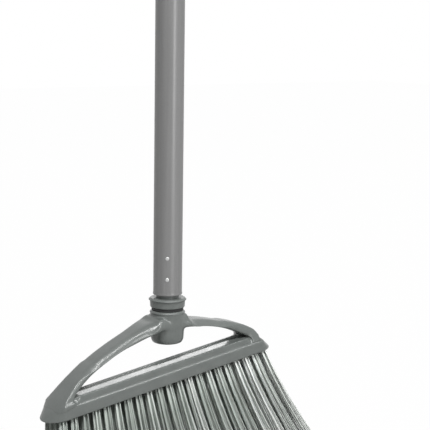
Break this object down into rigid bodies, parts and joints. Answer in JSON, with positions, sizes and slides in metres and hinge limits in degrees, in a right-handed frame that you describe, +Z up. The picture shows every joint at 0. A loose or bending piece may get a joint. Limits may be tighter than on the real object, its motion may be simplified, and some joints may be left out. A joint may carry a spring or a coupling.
{
  "type": "lobby broom",
  "caption": "Upright lobby broom: a steel tube handle screws into an arched, tilted head frame whose block carries fanned rows of stiff bristles, with a cap to hang it by.",
  "frame": {"origin": "on the handle axis at the lower end of the handle tube", "axes": "+Z up the handle, +X along the head towards its raised end, -Y is the front"},
  "size_m": [0.2681, 0.047, 0.9593],
  "materials": {
    "tube": "satin",
    "dark_plastic": "satin",
    "rivet": "bright",
    "rubber": "matte",
    "head_plastic": "satin",
    "filament": "satin"
  },
  "bodies": {
    "handle": {"handle_tube": "tube", "hang_cap": "dark_plastic", "threaded_ferrule": "dark_plastic", "ferrule_rivets": "rivet"},
    "washer": {"friction_washer": "rubber"},
    "head": {"head_frame": "head_plastic", "bristle_block": "head_plastic", "front_tuft_row": "filament", "mid_front_tuft_row": "filament", "mid_rear_tuft_row": "filament", "rear_tuft_row": "filament"}
  },
  "joints": [
    {"name": "washer_slide", "type": "slide", "parent": "handle", "child": "washer", "axis": [0, 0, -1], "range_m": [0, 0.0204]},
    {"name": "head_turn", "type": "hinge", "parent": "washer", "child": "head", "pos_m": [0, 0, -0.0123], "axis": [0, 0, -1], "range_deg": [0, 1440]}
  ],
  "couplings": [
    {"joint": "washer_slide", "follows": "head_turn", "m_per_rad": 0.00080851}
  ]
}
